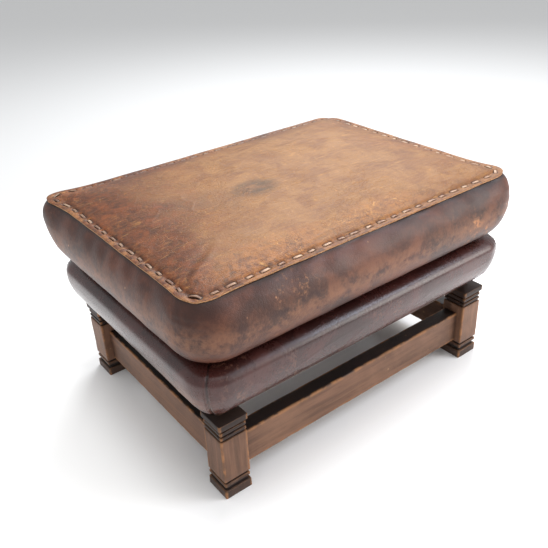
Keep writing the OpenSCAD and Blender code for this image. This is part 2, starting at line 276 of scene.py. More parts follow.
def worn_tan():
    """Top panel: golden tan where it was rubbed, chestnut where the old dye is left."""
    b = Bench("worn_tan_leather")
    broad = b.cloud(4.2, 3.0, 0.5, twist=0.4)
    blotch = b.cloud(17.0, 6.0, 0.62, twist=0.6)
    fleck = b.cloud(95.0, 7.0, 0.74)
    rub = b.cloud(1.0, 8.0, 0.68, b.stretch(26, 150, 60, -24))
    across, along = b.axis(0), b.axis(1)
    x_share = b.maths("ABSOLUTE", across) / 0.335
    y_share = b.maths("ABSOLUTE", along) / 0.245
    # Darker towards the rim and towards the left end.
    border = b.step(b.maths("MAXIMUM", x_share, y_share), 0.62, 1.0)
    left_end = b.step(across + along * -0.25, 0.0, -0.34)
    dark = broad * 0.7 + blotch * 0.5 + left_end * 0.36 + fleck * 0.32 + border * 0.34
    chestnut = b.step(dark, 0.86, 1.26)
    worn = b.mix(b.step(blotch, 0.38, 0.62), dye(150, 106, 66), dye(174, 132, 86))
    worn = b.mix(b.step(rub, 0.42, 0.68) * 0.5, worn, dye(190, 148, 102))
    worn = b.mix(b.step(broad, 0.5, 0.72) * 0.45, worn, dye(146, 116, 84))
    dyed = b.mix(b.step(fleck, 0.36, 0.64), dye(70, 36, 22), dye(126, 70, 38))
    dyed = b.mix(b.step(b.cloud(40.0, 5.0, 0.7), 0.52, 0.7) * 0.6, dyed, dye(150, 86, 44))
    colour = b.mix(chestnut * 0.9, worn, dyed)
    rust = b.step(b.cloud(15.0, 6.0, 0.68, twist=0.9), 0.47, 0.62) * (left_end * 0.38 + border * 0.22)
    colour = b.mix(rust, colour, dye(160, 94, 52))
    smudge = b.spot(-0.058, -0.008, 0.056, 0.042) * b.step(blotch, 0.28, 0.58)
    colour = b.mix(smudge * 0.8, colour, dye(66, 56, 46))
    golden = b.spot(-0.165, -0.205, 0.16, 0.05) + b.spot(0.05, -0.205, 0.12, 0.04)
    colour = b.mix(golden * b.step(fleck, 0.36, 0.6) * 0.65, colour, dye(196, 138, 74))
    veins = b.cells(62.0, "DISTANCE_TO_EDGE", b.stretch(1.0, 2.2, 1.0, 30))
    cracked = b.step(veins + fleck * 0.16, 0.15, 0.09) * b.step(b.cloud(8.0, 4.0, 0.6), 0.46, 0.6)
    colour = b.mix(cracked * 0.36, colour, dye(190, 140, 88))
    scratch = b.cells(9.0, "DISTANCE_TO_EDGE", b.stretch(1.0, 3.4, 1.0, 34))
    fine = b.step(scratch + b.cloud(38.0, 4.0) * 0.12, 0.068, 0.05) * b.step(b.cloud(9.0), 0.46, 0.6)
    colour = b.mix(fine * 0.36, colour, dye(196, 150, 104))
    specks = b.step(b.cells(55.0), 0.12, 0.05) * b.step(b.cloud(7.0), 0.46, 0.58)
    colour = b.mix(specks * 0.6, colour, dye(48, 28, 20))
    edge = b.paint("edge")
    colour = b.mix(edge * b.step(b.cloud(48.0, 5.0, 0.7), 0.44, 0.58) * 0.7, colour, dye(196, 144, 96))
    colour = b.mix(edge * b.step(b.cloud(33.0, 4.0, 0.7), 0.5, 0.66) * 0.7, colour, dye(66, 36, 26))
    crackle = b.cells(170.0, "DISTANCE_TO_EDGE", b.stretch(1.0, 1.5, 1.0, 20))
    lines = b.step(crackle + fleck * 0.25, 0.24, 0.15) * b.step(b.cloud(11.0, 4.0, 0.6), 0.44, 0.6)
    colour = b.mix(lines * (0.22 + golden * 0.4), colour, dye(92, 54, 32))
    hair = b.cloud(1.0, 7.0, 0.72, b.stretch(16, 240, 60, 42))
    hair = b.maths("MAXIMUM", hair, b.cloud(1.0, 6.0, 0.7, b.stretch(20, 280, 60, -30)))
    hairs = b.step(hair, 0.6, 0.68) * b.step(b.cloud(6.0), 0.4, 0.56)
    colour = b.mix(hairs * 0.65, colour, dye(226, 178, 120))
    scrapes = b.step(b.cloud(60.0, 8.0, 0.75, twist=1.2), 0.57, 0.63) * b.step(blotch, 0.42, 0.58)
    colour = b.mix(scrapes * (0.3 + golden * 0.4), colour, dye(236, 184, 112))
    mottling = b.step(b.cloud(28.0, 7.0, 0.7, twist=0.8), 0.5, 0.66)
    # Dark mottling, more of it towards the rim and the left end.
    colour = b.mix(mottling * (0.12 + border * 0.34 + left_end * 0.3), colour, dye(92, 50, 28))
    colour = b.mix(1.0, colour, (0.73, 0.62, 0.47), "MULTIPLY")
    # Dark where the mesh is marked: round the lace slits, partly dirt and partly painted shade.
    colour = b.mix(b.paint("shade_and_stain"), colour, dye(30, 16, 12))
    rough = 0.42 + rub * 0.16 + chestnut * -0.06 + fine * 0.15
    height = leather_grain(b) * 0.5 + fleck * 0.6 + rub * 0.3 + cracked * -0.4
    return b.finish(colour, rough, height, 0.0009, Specular_IOR_Level=0.32)


def raw_edge():
    b = Bench("cut_leather_edge")
    fibre = b.cloud(420.0, 4.0, 0.7)
    colour = b.mix(b.step(fibre, 0.35, 0.7), dye(150, 96, 58), dye(208, 164, 120))
    colour = b.mix(b.step(b.cloud(30.0, 4.0), 0.55, 0.7) * 0.5, colour, dye(110, 66, 42))
    return b.finish(colour, 0.75, fibre, 0.0006)


def thong_leather():
    b = Bench("thong_leather")
    mottle = b.cloud(60.0, 4.0, 0.6)
    colour = b.mix(b.step(mottle, 0.36, 0.66), dye(140, 96, 70), dye(214, 178, 146))
    # Dark where marked: painted shade at the lace ends, and darker laces towards the back and the left end.
    colour = b.mix(b.paint("shade_and_stain"), colour, dye(50, 26, 18))
    return b.finish(colour, 0.42, b.cloud(900.0, 3.0), 0.0003, Specular_IOR_Level=0.5)


def hide(name, deep, middle, light, scuff, scuffing, rough, coat):
    """A dyed hide: mottled between three shades, with scuffs where the dye is rubbed off."""
    b = Bench(name)
    broad = b.cloud(5.0, 3.0, 0.5, twist=0.5)
    blotch = b.cloud(19.0, 6.0, 0.6, twist=0.4)
    fleck = b.cloud(120.0, 6.0, 0.7)
    colour = b.mix(b.step(broad * 0.6 + blotch * 0.5, 0.4, 0.72), deep, middle)
    colour = b.mix(b.step(blotch * 0.7 + fleck * 0.4, 0.5, 0.8) * 0.5, colour, light)
    streak = b.cloud(1.0, 7.0, 0.7, b.stretch(30, 30, 13))
    patch = b.step(b.cloud(7.0, 4.0, 0.6), 0.55, 0.68)
    scuffed = b.step(streak * 0.6 + fleck * 0.5, 0.56, 0.7) * patch * scuffing
    colour = b.mix(scuffed, colour, scuff)
    nicks = b.step(b.cells(34.0), 0.085, 0.03) * b.step(b.cloud(6.0), 0.46, 0.6) * scuffing
    colour = b.mix(nicks * 0.8, colour, scuff)
    # Dark where marked: on the band, painted shadow under the lap and painted shade at its foot; on the box
    # leather, dark corner seams and painted shade along the turned-under bottom.
    colour = b.mix(b.paint("shade_and_stain") * 0.85, colour, dye(24, 14, 12))
    rubbed = b.paint("wear") * b.step(fleck * 0.5 + blotch * 0.6, 0.42, 0.62)
    colour = b.mix(rubbed * 0.75, colour, scuff)
    shine = rough + blotch * 0.14 + scuffed * 0.3 + fleck * 0.06
    height = leather_grain(b) * 0.6 + fleck * 0.3
    return b.finish(colour, shine, height, 0.0006, Specular_IOR_Level=0.4, Coat_Weight=coat,
                    Coat_Roughness=0.22)


def waxed_thread():
    b = Bench("waxed_thread")
    twist = b.cloud(1400.0, 2.0)
    colour = b.mix(twist, dye(44, 24, 20), dye(92, 58, 44))
    return b.finish(colour, 0.5, twist, 0.0002)


def stained_wood(name, x, y, z):
    """Brown-stained wood with its grain along the axis that has the lowest stretch."""
    b = Bench(name)
    grain = b.cloud(1.0, 6.0, 0.62, b.stretch(x, y, z))
    pores = b.cloud(1.0, 3.0, 0.7, b.stretch(x * 5, y * 5, z * 5))
    broad = b.cloud(8.0, 4.0, 0.6)
    colour = b.mix(b.step(grain, 0.3, 0.7), dye(94, 67, 51), dye(126, 91, 71))
    colour = b.mix(b.step(broad, 0.42, 0.7) * 0.45, colour, dye(144, 106, 82))
    colour = b.mix(b.step(pores, 0.58, 0.74) * 0.5, colour, dye(50, 32, 24))
    # Dark where marked: painted shade on the rail tops and leg caps, dirt and painted shade in the leg
    # grooves, a darker foot, dirt at the rail ends.
    colour = b.mix(b.paint("shade_and_stain"), colour, dye(22, 19, 20))
    worn = b.paint("wear") * b.step(b.cloud(36.0, 6.0, 0.72), 0.4, 0.58)
    colour = b.mix(worn * 0.7, colour, dye(170, 118, 76))
    chips = b.step(b.cells(42.0), 0.11, 0.05) * b.step(b.cloud(11.0), 0.52, 0.64)
    colour = b.mix(chips * 0.75, colour, dye(206, 164, 116))
    grime = b.step(b.cloud(5.5, 5.0, 0.65), 0.5, 0.74) * 0.5
    colour = b.mix(grime, colour, dye(62, 42, 32))
    rough = 0.42 + grain * 0.16 + worn * 0.15
    return b.finish(colour, rough, grain * 0.5 + pores * 0.5, 0.0008, Specular_IOR_Level=0.3)


def plain_board(name, pale, dark, x, y, z, rough=0.6):
    b = Bench(name)
    grain = b.cloud(1.0, 6.0, 0.6, b.stretch(x, y, z))
    rings = b.cloud(1.0, 2.0, 0.5, b.stretch(x * 0.25, y * 0.25, z * 0.25), twist=2.0)
    colour = b.mix(b.step(grain * 0.6 + rings * 0.5, 0.38, 0.72), dark, pale)
    return b.finish(colour, rough, grain, 0.0004)


def lining_cotton():
    """Plain-woven cotton: threads over and under each other, slubs and faded patches."""
    b = Bench("lining_cotton")
    pitch = 1300.0
    warp = b.maths("SINE", (b.axis(0) + b.axis(2)) * pitch * math.tau / 2)
    weft = b.maths("SINE", (b.axis(1) + b.axis(2)) * pitch * math.tau / 2)
    weave = warp * weft
    slub = b.cloud(1.0, 3.0, 0.6, b.stretch(30, 600, 600))
    fade = b.cloud(7.0, 4.0, 0.6)
    colour = b.mix(b.step(fade, 0.35, 0.7), dye(118, 104, 84), dye(146, 132, 108))
    colour = b.mix(b.step(slub, 0.56, 0.7) * 0.5, colour, dye(168, 154, 130))
    colour = b.mix(b.step(weave, -0.6, 0.8) * 0.35, colour, dye(92, 80, 64))
    return b.finish(colour, 0.92, weave * 0.5 + slub * 0.5, 0.0004, Sheen_Weight=0.25,
                    Specular_IOR_Level=0.15)


def dulled_steel():
    b = Bench("dulled_steel")
    brushed = b.cloud(1.0, 4.0, 0.6, b.stretch(60, 900, 900))
    tarnish = b.cloud(45.0, 6.0, 0.7)
    colour = b.mix(b.step(tarnish, 0.45, 0.7), dye(150, 144, 134), dye(104, 92, 78))
    return b.finish(colour, 0.3 + brushed * 0.2 + tarnish * 0.15, brushed, 0.0001, Metallic=0.9)


def pressed_felt():
    b = Bench("pressed_felt")
    fuzz = b.cloud(1500.0, 5.0, 0.8)
    return b.finish(b.mix(fuzz, dye(38, 36, 34), dye(84, 80, 76)), 0.95, fuzz, 0.0008, Sheen_Weight=0.4)


# ---------------------------------------------------------------- mesh helpers


def piece(name, points, faces, finish, body, paints=None, replaces=(), edge_finish=None):
    """Makes a smooth mesh that rides on a body and takes its finish's slot."""
    mesh = bpy.data.meshes.new(name)
    mesh.from_pydata([tuple(p) for p in points], [], faces)
    mesh.materials.append(finish)
    if edge_finish:
        mesh.materials.append(edge_finish)
    mesh.shade_smooth()
    made = bpy.data.objects.new(name, mesh)
    scene.collection.objects.link(made)
    for paint, values in (paints or {}).items():
        coat(made, paint, values)
    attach(made, body)
    if replaces:
        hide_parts(*replaces)
    return made


def coat(made, paint, values):
    """Stores one value at each point for the finish to read."""
    layer = made.data.attributes.get(paint) or made.data.attributes.new(paint, "FLOAT", "POINT")
    layer.data.foreach_set("value", values)


def work(made, kind, **settings):
    """Adds a modifier and applies it at once."""
    modifier = made.modifiers.new(kind.lower(), kind)
    for key, value in settings.items():
        setattr(modifier, key, value)
    settle(made)


def settle(made):
    """Turns the modified shape into the piece's own mesh."""
    graph = bpy.context.evaluated_depsgraph_get()
    shaped = bpy.data.meshes.new_from_object(made.evaluated_get(graph), depsgraph=graph)
    made.modifiers.clear()
    old = made.data
    made.data = shaped
    bpy.data.meshes.remove(old)


def ease(value, low, high):
    """0 at low, 1 at high, eased at both ends; low may be the larger."""
    t = min(1.0, max(0.0, (value - low) / (high - low)))
    return t * t * (3 - 2 * t)


def bell(value, width):
    return math.exp(-(value / width) ** 2)


def lumps(place, size, seed=0.0):
    """Smooth random unevenness between about -1 and 1, with lumps of the given size."""
    return noise.noise(Vector((place.x / size + seed, place.y / size - seed, place.z / size + 7.3)))


def plan_ring(half_x, half_y, radius, steps):
    """Points round a rounded rectangle, corner by corner: (x, y, outward x, outward y)."""
    along_x, along_y, corner_steps = steps
    ring = []
    for quarter, (sx, sy) in enumerate(((1, 1), (-1, 1), (-1, -1), (1, -1))):
        centre = Vector((sx * (half_x - radius), sy * (half_y - radius)))
        for i in range(corner_steps):
            turn = math.radians(90 * (quarter + i / corner_steps))
            out = Vector((math.cos(turn), math.sin(turn)))
            ring.append((*(centre + out * radius), *out))
        turn = math.radians(90 * (quarter + 1))
        out = Vector((round(math.cos(turn)), round(math.sin(turn))))
        run = Vector((-out.y, out.x))
        length = 2 * ((half_x if quarter % 2 == 0 else half_y) - radius)
        count = along_x if quarter % 2 == 0 else along_y
        for i in range(count):
            ring.append((*(centre + out * radius + run * (length * i / count)), *out))
    return ring


def bridge(first, second, count):
    """Quads between two rings of the same count, given by their first point's number."""
    return [(first + i, first + (i + 1) % count, second + (i + 1) % count, second + i) for i in range(count)]


# ---------------------------------------------------------------- sizes read from the frame

band_low, band_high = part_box("cushion_side_band")
cover_low, cover_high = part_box("box_cover")
board_low, board_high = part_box("lid_board")
lining_low, lining_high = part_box("box_lining")

WIDE_X, WIDE_Y = band_high.x, band_high.y
RIM_Z = band_high.z
BAND_FOOT = band_low.z
BOARD_X = board_high.x
MID_Z = board_low.z + 58 * MM
PANEL_T = 2.6 * MM
RIM_X, RIM_Y = WIDE_X - 23 * MM, WIDE_Y - 30 * MM
RIM_RADIUS = 40 * MM
WIDE_RADIUS = 76 * MM
STEPS = (88, 60, 9)
RING = 2 * (STEPS[0] + STEPS[1]) + 4 * STEPS[2]
LAND_STOPS = [v * MM for v in (3, 6, 9, 12, 15, 18, 22, 27, 33)]
LACE_IN = 9 * MM


# ---------------------------------------------------------------- the cushion lid


def crown_rise(inward):
    """Height of the padding above the rim, by how far in from the rim."""
    land = 0.05 * min(inward, 13 * MM)
    return land + 10.5 * MM * (1 - math.exp(-max(0.0, inward - 11 * MM) / (40 * MM)))


def cushion_rings():
    """The lid's padded body from its foot, round the widest line, to the laced rim and over the land."""
    rings = []
    foot_in = WIDE_X - BOARD_X
    for i in range(10):
        turn = math.radians(-90 + 10 * i)
        inset = foot_in * (1 - math.cos(turn))
        height = MID_Z + (MID_Z - BAND_FOOT) * math.sin(turn)
        rings.append((WIDE_X - inset, WIDE_Y - inset, WIDE_RADIUS - inset, height))
    last = math.radians(57)
    for i in range(1, 9):
        turn = last * i / 8
        share = (1 - math.cos(turn)) / (1 - math.cos(last))
        height = MID_Z + (RIM_Z - MID_Z) * math.sin(turn) / math.sin(last)
        rings.append((WIDE_X + (RIM_X - WIDE_X) * share, WIDE_Y + (RIM_Y - WIDE_Y) * share,
                      WIDE_RADIUS + (RIM_RADIUS - WIDE_RADIUS) * share, height))
    for inward in LAND_STOPS:
        rings.append((RIM_X - inward, RIM_Y - inward, RIM_RADIUS - inward, RIM_Z + crown_rise(inward)))
    return rings


RIM_ROW = 17


def cushion_body():
    """One closed padded form with the same columns all the way up."""
    points, faces = [], []
    rings = cushion_rings()
    for half_x, half_y, radius, height in rings:
        points += [Vector((x, y, height)) for x, y, _, _ in plan_ring(half_x, half_y, radius, STEPS)]
    for row in range(len(rings) - 1):
        faces += bridge(row * RING, (row + 1) * RING, RING)
    flat_x, flat_y = RIM_X - RIM_RADIUS, RIM_Y - RIM_RADIUS
    along_x, along_y, corner_steps = STEPS
    first = len(points)
    for i in range(along_x + 1):
        for j in range(along_y + 1):
            x, y = flat_x * (2 * i / along_x - 1), flat_y * (2 * j / along_y - 1)
            inward = RIM_RADIUS + min(flat_x - abs(x), flat_y - abs(y))
            points.append(Vector((x, y, RIM_Z + crown_rise(inward))))

    def spot(i, j):
        return first + i * (along_y + 1) + j

    for i in range(along_x):
        for j in range(along_y):
            faces.append((spot(i, j), spot(i + 1, j), spot(i + 1, j + 1), spot(i, j + 1)))
    hem = [spot(along_x, along_y)] * corner_steps + [spot(along_x - k, along_y) for k in range(along_x)]
    hem += [spot(0, along_y)] * corner_steps + [spot(0, along_y - k) for k in range(along_y)]
    hem += [spot(0, 0)] * corner_steps + [spot(k, 0) for k in range(along_x)]
    hem += [spot(along_x, 0)] * corner_steps + [spot(along_x, k) for k in range(along_y)]
    last = (len(rings) - 1) * RING
    for i in range(RING):
        after = (i + 1) % RING
        corners = [last + i, last + after, hem[after], hem[i]]
        faces.append(tuple(dict.fromkeys(corners)))
    return points, faces


def stuff_cushion(points, faces, press=3.5, most=7 * MM):
    """Fills the lid's leather like a cushion: the foot and the laced rim hold, the rest swells."""
    mesh = bpy.data.meshes.new("stuffing")
    mesh.from_pydata([tuple(p) for p in points], [], faces + [tuple(range(RING - 1, -1, -1))])
    body = bpy.data.objects.new("stuffing", mesh)
    scene.collection.objects.link(body)
    held = body.vertex_groups.new(name="held")
    held.add(list(range(2 * RING)), 1.0, "REPLACE")
    held.add(list(range((RIM_ROW - 1) * RING, (RIM_ROW + 4) * RING)), 1.0, "REPLACE")
    cloth = body.modifiers.new("cloth", "CLOTH")
    cloth.settings.quality = 6
    cloth.settings.mass = 0.6
    cloth.settings.tension_stiffness = 18
    cloth.settings.compression_stiffness = 10
    cloth.settings.shear_stiffness = 6
    cloth.settings.bending_stiffness = 1.2
    cloth.settings.vertex_group_mass = "held"
    cloth.settings.use_pressure = True
    cloth.settings.uniform_pressure_force = press
    cloth.settings.effector_weights.gravity = 0
    cloth.point_cache.frame_start, cloth.point_cache.frame_end = 1, 20
    for step in range(1, 21):
        scene.frame_set(step)
    graph = bpy.context.evaluated_depsgraph_get()
    swollen = body.evaluated_get(graph).to_mesh()
    filled = []
    for start, vertex in zip(points, swollen.vertices):
        move = vertex.co - start
        filled.append(start + move * min(1.0, most / max(move.length, 1e-9)))
    body.evaluated_get(graph).to_mesh_clear()
    bpy.data.objects.remove(body)
    bpy.data.meshes.remove(mesh)
    scene.frame_set(1)
    return filled


def pull_corners(point):
    """The lapped rim is dragged out and up at the front right and the back left corners."""
    near_rim = ease(point.z, RIM_Z - 98 * MM, RIM_Z - 8 * MM)
    for x, y, out, up in ((1, -1, 9 * MM, 4 * MM), (-1, 1, 23 * MM, 1 * MM), (-1, -1, 2 * MM, -3 * MM)):
        corner = Vector((x * RIM_X, y * RIM_Y))
        reach = (Vector((point.x, point.y)) - corner).length
        pull = bell(reach, 46 * MM) * near_rim
        away = Vector((x, y)).normalized()
        point = point + Vector((away.x * out, away.y * out, up)) * pull
    return point


def band_relief(point):
    """How far the side band's leather stands proud: unevenness, gathers below the lacing, hem creases."""
    rise = lumps(point, 0.16, 3.1) * 1.6 * MM + lumps(point, 0.055, 8.2) * 0.7 * MM
    run = math.atan2(point.y * WIDE_X, point.x * WIDE_Y)
    below_rim = RIM_Z - point.z
    gather = math.sin(run * 34 + 3 * lumps(point, 0.2, 1.7)) * bell(below_rim - 14 * MM, 14 * MM)
    rise += gather * 0.8 * MM
    corner = (abs(point.x) / WIDE_X) * (abs(point.y) / WIDE_Y)
    at_corner = ease(corner, 0.5, 0.86)
    for height, depth in ((10, 0.9), (15.5, 0.9), (21.5, 0.5)):
        line = BAND_FOOT + height * MM + 2.5 * MM * lumps(point, 0.12, height)
        rise -= bell(point.z - line, 1.1 * MM) * depth * MM * at_corner
    crease = 1 - abs(noise.noise(Vector((point.x * 9, point.y * 9, point.z * 42))))
    rise += (crease ** 10) * 0.5 * MM * (0.3 + at_corner)
    return rise


def crown_relief(point):
    """Folds and dents in the top panel: soft drag folds towards the back, small hand-sized dents."""
    rise = lumps(point, 0.14, 5.5) * 1.5 * MM + lumps(point, 0.05, 2.2) * 0.5 * MM
    for x, y, length, turn, height in (
        (0.205, 0.095, 0.09, -18, 1.6), (0.16, 0.13, 0.10, -24, 1.3), (0.17, -0.075, 0.11, -14, 1.3),
        (0.235, 0.04, 0.08, -30, 1.1), (0.06, 0.12, 0.10, -8, 0.9), (-0.27, -0.17, 0.05, 50, 1.3),
    ):
        angle = math.radians(turn)
        dx, dy = point.x - x, point.y - y
        along = dx * math.cos(angle) + dy * math.sin(angle)
        across = dy * math.cos(angle) - dx * math.sin(angle) + 0.012 * math.sin(along * 30)
        ridge = bell(across, 7 * MM) - 0.6 * bell(across - 13 * MM, 9 * MM)
        rise += height * MM * bell(along, length) * ridge
    crease = 1 - abs(noise.noise(Vector((point.x * 14 + 4, point.y * 30, 1.5))))
    return rise + (crease ** 12) * 0.55 * MM


def shape_skin(made, relief):
    """Moves each point of a piece along its normal by relief(point)."""
    mesh = made.data
    still = [(v.co.copy(), v.normal.copy()) for v in mesh.vertices]
    moved = []
    for place, normal in still:
        moved.extend(place + normal * relief(place))
    mesh.vertices.foreach_set("co", moved)
    mesh.update()


def cut_side_band(body, finish):
    """The dark leather band: from the foot to just under the top panel's lap."""
    rows = RIM_ROW + 5
    faces = []
    for row in range(rows - 1):
        faces += bridge(row * RING, (row + 1) * RING, RING)
    band = piece("cushion_side_leather", body[:rows * RING], faces, finish, "lid",
                 replaces=("cushion_side_band", "cushion_foam"))
    work(band, "SUBSURF", levels=2, render_levels=2)

    def relief(point):
        hidden = ease(point.z, RIM_Z - 3 * MM, RIM_Z - 0.5 * MM)
        return band_relief(point) * (1 - hidden)

    shape_skin(band, relief)
    # Painted shadow: a dark line just under the top panel's lap; painted shade at the foot, in the gap above
    # the box.
    coat(band, "shade_and_stain", [
        0.9 * bell(v.co.z - RIM_Z + 1 * MM, 4 * MM) + 0.8 * ease(v.co.z, BAND_FOOT + 9 * MM, BAND_FOOT)
        for v in band.data.vertices])
    coat(band, "wear", [0.35 * bell(v.co.z - MID_Z, 22 * MM) for v in band.data.vertices])
    work(band, "SOLIDIFY", thickness=1.8 * MM, offset=-1)
    return band


def lace_path(points):
    """Even points along the line of the lacing on the top panel, all the way round."""
    size = len(points)
    lengths = [0.0]
    for i in range(size):
        lengths.append(lengths[-1] + (points[(i + 1) % size] - points[i]).length)

    def at(distance):
        distance %= lengths[-1]
        i = next(k for k in range(size) if lengths[k + 1] >= distance)
        share = (distance - lengths[i]) / (lengths[i + 1] - lengths[i])
        return points[i].lerp(points[(i + 1) % size], share)

    return at, lengths[-1]


def plan_stitches(points):
    """Long and short stitches in turn, each with its middle, its direction and its length."""
    at, total = lace_path(points)
    rng = random.Random(11)
    count = int(total / (29 * MM) / 2) * 2
    stitches = []
    for i in range(count):
        where = total * i / count + rng.uniform(-2.2, 2.2) * MM
        length = (18 if i % 2 else 12.5) * MM + rng.uniform(-1.2, 1.2) * MM
        middle = at(where)
        run = (at(where + 4 * MM) - at(where - 4 * MM)).normalized()
        run.rotate(Matrix.Rotation(math.radians(rng.uniform(-7, 7)), 3, "Z"))
        stitches.append((middle, run, length, rng.uniform(4.2, 5.0) * MM))
    return stitches


def cut_top_panel(body, faces, finish, edge):
    """The tan leather top: it laps over the band, ends in a raw edge and carries the lacing."""
    first = RIM_ROW * RING
    points = [p.copy() for p in body[first:]]
    size = len(points)
    kept = [tuple(i - first for i in f) for f in faces if min(f) >= first]
    outline = plan_ring(RIM_X, RIM_Y, RIM_RADIUS, STEPS)
    for i, (_, _, out_x, out_y) in enumerate(outline):
        wave = 0.9 * MM * lumps(points[i], 0.035, 4.0) + 0.8 * MM * lumps(points[i], 0.12, 9.0)
        lap = 2.6 * MM + wave
        points.append(points[i] + Vector((out_x * lap, out_y * lap, -0.4 * MM)))
    kept += bridge(size, 0, RING)
    panel = piece("cushion_top_leather", points, kept, finish, "lid",
                  replaces=("cushion_top_panel",), edge_finish=edge)
    work(panel, "SUBSURF", levels=2, render_levels=2)
    lace_row = LAND_STOPS.index(LACE_IN) + 1
    stitches = plan_stitches(points[lace_row * RING:(lace_row + 1) * RING])
    shape_skin(panel, lambda point: PANEL_T + crown_relief(point) * ease(
        min(RIM_X - abs(point.x), RIM_Y - abs(point.y)), 4 * MM, 30 * MM))
    sink_stitches(panel, stitches)
    work(panel, "SOLIDIFY", thickness=PANEL_T - 0.3 * MM, offset=-1, material_offset_rim=1,
         use_quality_normals=True)
    return panel, stitches


def sink_stitches(panel, stitches):
    """Pulls the leather down round each stitch and paints the slits dark, partly dirt round the lace and
    partly painted shade in the holes; marks the rubbed edge.
    """
    cell = 20 * MM
    nearby = {}
    for number, (middle, _, _, _) in enumerate(stitches):
        for dx in (-1, 0, 1):
            for dy in (-1, 0, 1):
                key = (math.floor(middle.x / cell) + dx, math.floor(middle.y / cell) + dy)
                nearby.setdefault(key, []).append(number)
    shade_and_stain, edge = [], []
    for vertex in panel.data.vertices:
        point = vertex.co
        dark = sunk = 0.0
        for number in nearby.get((math.floor(point.x / cell), math.floor(point.y / cell)), ()):
            middle, run, length, width = stitches[number]
            away = point - middle
            along = abs(away.x * run.x + away.y * run.y)
            across = abs(away.x * run.y - away.y * run.x)
            past_end = max(0.0, along - length / 2 + 1 * MM)
            past_side = max(0.0, across - width / 2 + 0.4 * MM)
            gap = math.hypot(past_end, past_side)
            # Dark round each slit: partly dirt round the lace, partly painted shade in the hole.
            dark = max(dark, ease(gap, 2.6 * MM, 1.0 * MM))
            sunk = max(sunk, ease(gap, 4.0 * MM, 0.6 * MM))
        inward = min(RIM_X - abs(point.x), RIM_Y - abs(point.y))
        trough = bell(inward - LACE_IN - 1 * MM, 5 * MM) * 1.6 * MM
        vertex.co.z -= sunk * 1.3 * MM + trough
        shade_and_stain.append(dark * 0.92)
        edge.append(bell(inward, 7 * MM))
    panel.data.update()
    coat(panel, "shade_and_stain", shade_and_stain)
    coat(panel, "edge", edge)


def lay_thong(stitches, panel, finish):
    """Each visible run of the lace: a flat strip that comes out of one slit and dives into the next."""
    tree = BVHTree.FromObject(panel, bpy.context.evaluated_depsgraph_get())
    points, faces, shade_and_stain = [], [], []
    spans, sides = 12, 10
    for middle, run, length, width in stitches:
        across = Vector((-run.y, run.x, 0)).normalized()
        # Laces darker towards the back and the left end.
        dull = max(0.6 * ease(middle.y, 0.12, 0.22), 0.45 * ease(-middle.x, 0.27, 0.32), 0.12)
        first = len(points)
        for i in range(spans + 1):
            share = 2 * i / spans - 1
            centre = middle + run * (share * (length / 2 + 0.6 * MM))
            hit = tree.ray_cast(Vector((centre.x, centre.y, 1.0)), Vector((0, 0, -1)))[0]
            ground = hit.z if hit else centre.z
            lift = 1.25 * MM - 2.6 * MM * abs(share) ** 6
            for k in range(sides):
                turn = math.tau * k / sides
                flat = math.copysign(abs(math.cos(turn)) ** 0.6, math.cos(turn))
                points.append(Vector((centre.x, centre.y, ground + lift)) + across * flat * width / 2
                              + Vector((0, 0, 0.95 * MM * math.sin(turn))))
                # Painted shade at each end, where the lace dives into its slit.
                shade_and_stain.append(max(dull, ease(abs(share), 0.74, 1.0)))
        for i in range(spans):
            faces += bridge(first + i * sides, first + (i + 1) * sides, sides)
        faces.append(tuple(first + k for k in range(sides - 1, -1, -1)))
        faces.append(tuple(first + spans * sides + k for k in range(sides)))
    return piece("lacing_thong", points, faces, finish, "lid", {"shade_and_stain": shade_and_stain},
                 replaces=("rim_thong",))


def make_lid(finishes):
    points, faces = cushion_body()
    points = [pull_corners(p) for p in stuff_cushion(points, faces)]
    cut_side_band(points, finishes["band"])
    panel, stitches = cut_top_panel(points, faces, finishes["top"], finishes["edge"])
    lay_thong(stitches, panel, finishes["thong"])


# ---------------------------------------------------------------- the box's leather

COVER_STEPS = (150, 112, 13)
COVER_RING = 2 * (COVER_STEPS[0] + COVER_STEPS[1]) + 4 * COVER_STEPS[2]


def cover_rows():
    """The box leather from the tuck under the boards, over the padding and the top, into the room."""
    bulge_z = cover_low.z + 71 * MM
    room_x, room_y = lining_high.x, lining_high.y
    rows = []
    tuck_in = 47 * MM
    for turn in range(-86, 1, 8):
        angle = math.radians(turn)
        inset = tuck_in * (1 - math.cos(angle))
        height = bulge_z + (bulge_z - cover_low.z - 0.5 * MM) * math.sin(angle)
        rows.append((cover_high.x - inset, cover_high.y - inset, max(8 * MM, 52 * MM - inset), height))
    for turn in range(10, 91, 10):
        angle = math.radians(turn)
        inset = 30 * MM * (1 - math.cos(angle))
        height = bulge_z + (cover_high.z - bulge_z) * math.sin(angle)
        rows.append((cover_high.x - inset, cover_high.y - inset, 52 * MM - inset, height))
    for share in (0.2, 0.45, 0.7, 0.95):
        half_x = cover_high.x - 30 * MM + (room_x - cover_high.x + 30 * MM) * share
        half_y = cover_high.y - 30 * MM + (room_y - cover_high.y + 30 * MM) * share
        rows.append((half_x, half_y, 22 * MM - 20 * MM * share, cover_high.z))
    return rows


def near_seam(point):
    """Distance from the corner seam, which runs down the leather's 45-degree line."""
    return abs((cover_high.x - abs(point.x)) - (cover_high.y - abs(point.y))) / math.sqrt(2)


